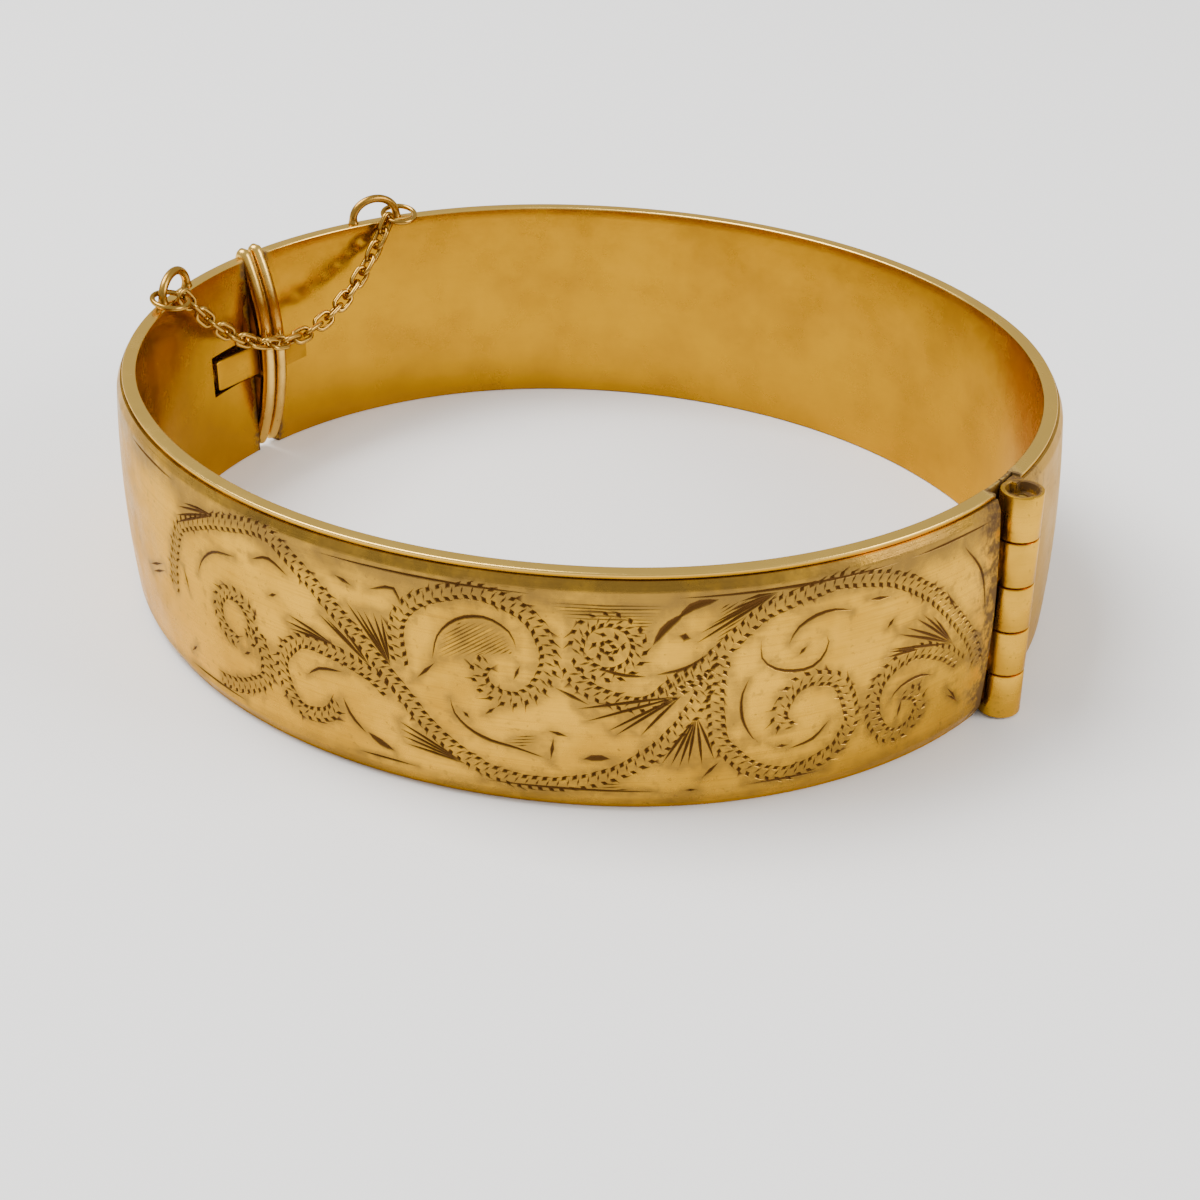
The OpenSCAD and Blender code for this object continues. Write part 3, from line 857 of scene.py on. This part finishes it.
def swept(name, section, side, start, stop, step=0.7, notch=None):
    """A closed sheet swept round the oval; start(off) and stop(off) say where a point begins and ends.
    notch is (distance of its far end, first and last wall row, index of wall row 0 outside)."""
    count = len(section)
    length = stop(0.0) - start(0.0)
    shares = list(spaced(0.0, 1.0, step / length))
    cut = 0
    if notch:
        far, low, high, outer_0 = notch
        share = (u_at_clasp(far, 0.0) - start(0.0)) / length
        inner = list(spaced(0.0, share, step / length))
        cut = len(inner) - 1
        shares = inner + list(spaced(share, 1.0, step / length))[1:]
    points = []
    for t in shares:
        for off, z in section:
            (x, y), _ = plan(start(off) + t * (stop(off) - start(off)), off, side)
            points.append((x, y, z))

    def in_notch(i, j):
        return i < cut and (low <= j < high or outer_0 - high <= j < outer_0 - low)

    faces = grid_faces(len(shares), count, wrap_cols=True, skip=in_notch)
    last = (len(shares) - 1) * count
    faces.append(tuple(range(last, last + count)))
    if not notch:
        faces.append(tuple(reversed(range(count))))
        return sharpen(make_object(name, points, faces))
    faces.append((*range(low + 1), *range(outer_0 - low, count)))
    faces.append(tuple(range(high, outer_0 - high + 1)))
    for i in range(cut):
        base, after = i * count, (i + 1) * count
        for k in (low, high):
            faces.append((base + k, after + k, after + outer_0 - k, base + outer_0 - k))
    base = cut * count
    for k in range(low, high):
        faces.append((base + k, base + k + 1, base + outer_0 - k - 1, base + outer_0 - k))
    return sharpen(make_object(name, points, faces))


def joined(name, *objects):
    """One object from several, named name."""
    bm = bmesh.new()
    for obj in objects:
        bm.from_mesh(obj.data)
        bpy.data.meshes.remove(obj.data)
    mesh = bpy.data.meshes.new(name)
    bm.to_mesh(mesh)
    bm.free()
    for poly in mesh.polygons:
        poly.use_smooth = True
    return add_object(name, mesh)


def liner(name, side, hinge_end, with_window):
    section, rows, outside = liner_section()
    notch = None
    if with_window:
        notch = (WINDOW_END, rows.index(WINDOW[0]), rows.index(WINDOW[1]), outside + len(rows) - 1)
    main = swept(name + "_main", section, side, lambda off: u_at_clasp(CLASP_END, off),
                 lambda off: u_at_hinge(hinge_end, off), notch=notch)
    wall = [(0.0, LIP_ROUND), (0.0, BAND_H - LIP_ROUND), (LIP_ROUND, BAND_H), (LINER_T, BAND_H),
            (LINER_T, 0.0), (LIP_ROUND, 0.0)]
    end = swept(name + "_end", wall, side, lambda off: u_at_hinge(hinge_end, off),
                lambda off: u_at_hinge(0.06, off), step=0.3)
    return joined(name, main, end)


# ---- turned, bent and wire parts -----------------------------------------------------------------


def turned(name, profile, sides, ring):
    """A profile of (radius, height) points turned about the hinge's axis; a ring's profile is closed."""
    points = []
    for s in range(sides):
        a = 2 * math.pi * s / sides
        points += [(HINGE_X + r * math.cos(a), r * math.sin(a), z) for r, z in profile]
    return make_object(name, points, grid_faces(sides, len(profile), wrap_rows=True, wrap_cols=ring))


def block(name, low, high):
    """A box with softened edges."""
    points = [(x, y, z) for x in (low[0], high[0]) for y in (low[1], high[1]) for z in (low[2], high[2])]
    faces = [(0, 1, 3, 2), (4, 6, 7, 5), (0, 4, 5, 1), (2, 3, 7, 6), (0, 2, 6, 4), (1, 5, 7, 3)]
    obj = make_object(name, points, faces, smooth=False)
    bm = bmesh.new()
    bm.from_mesh(obj.data)
    bmesh.ops.bevel(bm, geom=list(bm.edges), offset=0.07 * MM, segments=2, affect="EDGES")
    bm.to_mesh(obj.data)
    bm.free()
    return obj


KNUCKLES = 5
KNUCKLE_GAP = 0.08
BARREL_END = 0.1  # from the rim to the barrel's end
KNUCKLE_L = (BAND_H - 2 * BARREL_END - (KNUCKLES - 1) * KNUCKLE_GAP) / KNUCKLES
BORE_R = 0.6
MOUTH_R = 1.0  # the open tube at the ends of the barrel
MOUTH_DEEP = 0.62
WEB_X = (INNER_A + LINER_T + 0.05, INNER_A + LINER_T + 1.1)


def knuckle(k, side, hinge_end):
    """Knuckle k from below, with its web; the first and the last have an open mouth."""
    z0 = BARREL_END + k * (KNUCKLE_L + KNUCKLE_GAP)
    z1 = z0 + KNUCKLE_L
    soft = 0.1
    rounding = [(KNUCKLE_R - soft * 0.3, z0 + soft * 0.3), (KNUCKLE_R, z0 + soft)]
    lower = [(BORE_R, z0), (KNUCKLE_R - soft, z0), *rounding]
    upper = [(r, z0 + z1 - z) for r, z in reversed(lower)]
    if k == KNUCKLES - 1:
        upper = [*upper[:-1], (MOUTH_R + 0.05, z1), (MOUTH_R, z1 - 0.05), (MOUTH_R - 0.04, z1 - MOUTH_DEEP),
                 (BORE_R, z1 - MOUTH_DEEP - 0.05)]
    if k == 0:
        lower = [(BORE_R, z0 + MOUTH_DEEP + 0.05), (MOUTH_R - 0.04, z0 + MOUTH_DEEP), (MOUTH_R, z0 + 0.05),
                 (MOUTH_R + 0.05, z0), *lower[1:]]
    tube = sharpen(turned("tube", lower + upper, 64, True), 40.0)
    y = (-hinge_end, -0.35) if side == FRONT else (0.35, hinge_end)
    web = block("web", (WEB_X[0], y[0], z0 + 0.02), (WEB_X[1] - 0.25, y[1], z1 - 0.02))
    return [tube, web]


def wire_loop(name, at, side):
    """The soldered arch that an end ring hangs on, with its feet spread by the solder."""
    rho, half, leg, high, wire = END_R + 0.5, 1.75, 0.25, 1.4, 0.3
    a = math.radians(at)
    normal = np.array([-math.cos(a), side * math.sin(a), 0.0])
    along = np.array([math.sin(a), side * math.cos(a), 0.0])
    middle = np.array([-END_C, 0.0, BAND_H]) + rho * normal
    path = [middle + along * half + np.array([0, 0, -0.04])]
    for k in range(25):
        t = math.pi * k / 24
        path.append(middle + along * half * math.cos(t) + np.array([0, 0, leg + high * math.sin(t)]))
    path.append(middle - along * half + np.array([0, 0, -0.04]))
    path = resample(path, 44)
    low = BAND_H + 0.5

    def swell(k):
        height = path[k][2]
        return 1.0 + 0.32 * max(0.0, (low - height) / (low - BAND_H)) ** 2

    return tube_object(name, path, wire, 20, swell=swell)


def wire_ring(name, node, radius, wire):
    """A round jump ring on the axes of its CAD node."""
    centre, axes = node_axes(node)
    path = []
    for k in range(72):
        a = 2 * math.pi * k / 72
        path.append(centre + radius * (math.cos(a) * axes[0] + math.sin(a) * axes[1]))
    return tube_object(name, path, wire, 16, closed=True)


LINK_L = 1.96
LINK_W = 1.3
LINK_WIRE = 0.34  # diameter


def oval_link(name, node):
    """A bent oval of wire on the axes of its CAD node."""
    centre, axes = node_axes(node)
    bend, straight = (LINK_W - LINK_WIRE) / 2, LINK_L - LINK_W
    path = []
    for k in range(40):
        a = 2 * math.pi * k / 40
        c, s = math.cos(a), math.sin(a)
        along = bend * c + math.copysign(straight / 2, c) * min(1.0, abs(c) * 3)
        path.append(centre + along * axes[0] + bend * s * axes[1])
    return tube_object(name, resample_loop(path, 44), LINK_WIRE / 2, 12, closed=True)


def resample_loop(path, count):
    return resample([*path, path[0]], count + 1)[:-1]


# The collars' middle line is a lens of two arcs: its place, half height, and bulges in and out
COLLAR_X = -INNER_A - LIP_W / 2
COLLAR_Y = 0.59
COLLAR_ZC = 8.08
COLLAR_HALF = 7.62
COLLAR_IN = 1.7
COLLAR_OUT = 1.15
BEAD_R = 0.46


def collar(name, side):
    """A bead bent into a lens that stands across the band, with rounded tips."""
    y = side * COLLAR_Y
    path = []
    for rise, way in ((COLLAR_IN, 1), (-COLLAR_OUT, -1)):
        radius = (COLLAR_HALF**2 + rise**2) / (2 * abs(rise))
        for k in range(61):
            z = way * COLLAR_HALF * (2 * k / 60 - 1)
            bow = math.sqrt(radius**2 - z**2) - (radius - abs(rise))
            path.append((COLLAR_X + math.copysign(bow, rise), y, COLLAR_ZC + z))
    path = resample_loop(path, 150)
    for _ in range(6):
        path = (np.roll(path, 1, 0) + 2 * path + np.roll(path, -1, 0)) / 4
    return tube_object(name, path, BEAD_R, 24, closed=True)


TONGUE_T = 0.35
TONGUE_X = -INNER_A + 0.6 - TONGUE_T  # its outer face
TONGUE_Y = (-5.1, 0.98)
TONGUE_Z = (6.45, 8.75)


def tongue_strip(name):
    """The spring strip: rounded long edges and a slightly narrowed tip."""
    edge = 0.1
    section = []
    for cx, cz, start in ((TONGUE_T - edge, TONGUE_Z[1] - edge, 0), (edge, TONGUE_Z[1] - edge, 90),
                          (edge, TONGUE_Z[0] + edge, 180), (TONGUE_T - edge, TONGUE_Z[0] + edge, 270)):
        section += corner(cx, cz, edge, start, 3)
    points = []
    marks = spaced(TONGUE_Y[0], TONGUE_Y[1], 0.25)
    mid = sum(TONGUE_Z) / 2
    for y in marks:
        narrow = 1.0 - 0.09 * near(y - TONGUE_Y[0], 0.35) ** 2
        for x, z in section:
            points.append((TONGUE_X + x, y, mid + (z - mid) * narrow))
    faces = grid_faces(len(marks), len(section), wrap_cols=True)
    faces.append(tuple(range(len(section))))
    faces.append(tuple((len(marks) - 1) * len(section) + k for k in range(len(section))))
    return sharpen(make_object(name, points, faces))


# ---- the pieces ----------------------------------------------------------------------------------


def barrel_shade_and_tarnish(x, y, z):
    """Painted shade inside the tube and down its mouths; its webs are dark as well, and it is tarnished
    where it meets the front half.
    """
    out = math.hypot(x - HINGE_X, y)
    # painted shade in the bore and the mouths; points of the webs outside the tube are darkened too
    inside = 1.0 if out < MOUTH_R + 0.12 or out > KNUCKLE_R + 0.05 else 0.0
    corner_side = 0.75 * near(x - (HINGE_X - KNUCKLE_R), 0.9)
    # painted shade at the barrel's two ends, round the mouths
    mouth = 0.7 * max(near(z - BAND_H, 0.35), near(z, 0.45))
    return max(inside, corner_side, mouth)


def build_halves():
    start = u_at_clasp(CLASP_END, SHELL_MID)
    end = u_at_hinge(FRONT_HINGE_END, SHELL_MID)
    front = outer_shell("front_shell_engraved", FRONT, start, end, engrave())
    stain_and_shade(front, shell_tarnish_and_shade)
    finish(front, "front_half", "engraved_gold", "engraved", "front_outer_shell")
    end = u_at_hinge(BACK_HINGE_END, SHELL_MID)
    back = outer_shell("back_shell_plain", BACK, start, end)
    stain_and_shade(back, shell_tarnish_and_shade)
    finish(back, "back_half", "plain_gold", "plain", "back_outer_shell")
    inner = liner("front_liner_sheet", FRONT, FRONT_HINGE_END, True)
    stain_and_shade(inner, liner_tarnish_and_shade)
    finish(inner, "front_half", "liner_gold", "liner", "front_inner_liner")
    inner = liner("back_liner_sheet", BACK, BACK_HINGE_END, False)
    stain_and_shade(inner, liner_tarnish_and_shade)
    finish(inner, "back_half", "liner_gold", "liner", "back_inner_liner")


def build_hinge():
    for name, side, end, first in (("front", FRONT, FRONT_HINGE_END, 1), ("back", BACK, BACK_HINGE_END, 0)):
        parts = []
        for k in range(first, KNUCKLES, 2):
            parts += knuckle(k, side, end)
        barrel = sharpen(joined(name + "_knuckle_tubes", *parts), 40.0)
        stain_and_shade(barrel, barrel_shade_and_tarnish)
        finish(barrel, name + "_half", "knuckle_gold", "knuckle", name + "_knuckles")
    hinge_pin()


PIN_SUNK = 0.57  # from each rim to the pin's end, down in the barrel's mouth


def hinge_pin():
    """A rod with a low dome at each end."""
    low, high = PIN_SUNK, BAND_H - PIN_SUNK
    dome = [(0.0, high + 0.02), (0.25, high - 0.01), (0.45, high - 0.1), (0.54, high - 0.22)]
    profile = dome + [(r, low + high - z) for r, z in reversed(dome)]
    pin = turned("hinge_pin_rod", profile, 40, False)
    bm = bmesh.new()
    bm.from_mesh(pin.data)
    bmesh.ops.remove_doubles(bm, verts=bm.verts, dist=1e-7)
    bm.to_mesh(pin.data)
    bm.free()
    finish(pin, "back_half", "pin_gold", "pin", "hinge_pin")


def build_clasp():
    for name, side in (("front", FRONT), ("back", BACK)):
        bead = collar(name + "_collar_bead", side)
        finish(bead, name + "_half", "collar_gold", "collar", name + "_clasp_collar")
        finish_node(name + "_clasp_plate", "plate")
    strip = tongue_strip("tongue_spring_strip")
    finish(strip, "tongue", "tongue_gold", "tongue", "tongue_strip")
    bevel(finish_node("tongue_catch_step", "tongue"), 0.05)
    bevel(finish_node("tongue_pad", "tongue"), 0.12, 3)


FRONT_LOOP_AT = 19.0  # degrees round the end arc from the clasp
BACK_LOOP_AT = 24.5
RING_R = 1.21
RING_WIRE = 0.19  # radius


def build_chain():
    for name, at, side in (("front", FRONT_LOOP_AT, FRONT), ("back", BACK_LOOP_AT, BACK)):
        arch = wire_loop(name + "_loop_wire", at, side)
        finish(arch, name + "_half", "loop_gold", "loop", name + "_chain_loop")
    for end in ("back", "front"):
        ring = wire_ring("ring_wire_" + end, "chain_ring_" + end, RING_R, RING_WIRE)
        finish(ring, "ring_" + end, "chain_gold", "chain", "chain_ring_" + end)
    k = 1
    while f"chain_link_{k:02d}" in NODES:
        link = oval_link(f"link_wire_{k:02d}", f"chain_link_{k:02d}")
        finish(link, f"link_{k:02d}", "chain_gold", "chain", f"chain_link_{k:02d}")
        k += 1


# ---- camera, floor and light ---------------------------------------------------------------------


def build_camera():
    """The camera that was fitted to the outlines of the photo."""
    azimuth, elevation, roll = (math.radians(d) for d in (36.012, 30.361, 0.331))
    distance, aside, above = 141.875, 2.356, -10.363
    back = Vector((math.sin(azimuth) * math.cos(elevation), -math.cos(azimuth) * math.cos(elevation),
                   math.sin(elevation)))
    right = Vector((math.cos(azimuth), math.sin(azimuth), 0.0))
    up = right.cross(-back)
    r = math.cos(roll) * right + math.sin(roll) * up
    u = -math.sin(roll) * right + math.cos(roll) * up
    spot = Vector((-X_MID, 0.0, BAND_H / 2)) + back * distance + r * aside + u * above
    data = bpy.data.cameras.new("camera")
    data.lens = 63.42
    data.sensor_width = 36.0
    data.shift_x = -0.01635
    data.shift_y = 0.0120
    data.clip_start = 0.005
    camera = add_object("camera", data)
    matrix = Matrix((r, u, back)).transposed().to_4x4()
    matrix.translation = spot * MM
    camera.matrix_world = matrix
    bpy.context.scene.camera = camera


def build_floor():
    size, low = 3.0, -0.00002
    mesh = bpy.data.meshes.new("floor")
    mesh.from_pydata([(-size, -size, low), (size, -size, low), (size, size, low), (-size, size, low)], [],
                     [(0, 1, 2, 3)])
    floor = add_object("floor", mesh)
    material = bpy.data.materials.new("floor_paper")
    material.use_nodes = True
    surface = material.node_tree.nodes["Principled BSDF"]
    surface.inputs["Base Color"].default_value = (0.93, 0.93, 0.93, 1.0)
    surface.inputs["Roughness"].default_value = 0.9
    mesh.materials.append(material)


def area_light(name, spot, size, power, colour):
    """A soft light that faces the middle of the stage."""
    data = bpy.data.lights.new(name, "AREA")
    data.shape = "RECTANGLE"
    data.size, data.size_y = size
    data.energy = power
    data.color = colour
    light = add_object(name, data)
    light.location = spot
    light.rotation_euler = (-Vector(spot)).to_track_quat("-Z", "Y").to_euler()


def build_light():
    world = bpy.data.worlds.new("studio")
    world.use_nodes = True
    background = world.node_tree.nodes["Background"]
    background.inputs["Color"].default_value = (0.93, 0.94, 0.96, 1.0)
    background.inputs["Strength"].default_value = 0.8
    bpy.context.scene.world = world
    area_light("key", (-0.25, -0.1, 0.5), (0.35, 0.35), 5.0, (1.0, 0.98, 0.95))
    area_light("side", (0.45, 0.15, 0.25), (0.25, 0.3), 2.0, (1.0, 0.97, 0.92))


build_camera()
build_halves()
build_hinge()
build_clasp()
build_chain()
build_floor()
build_light()
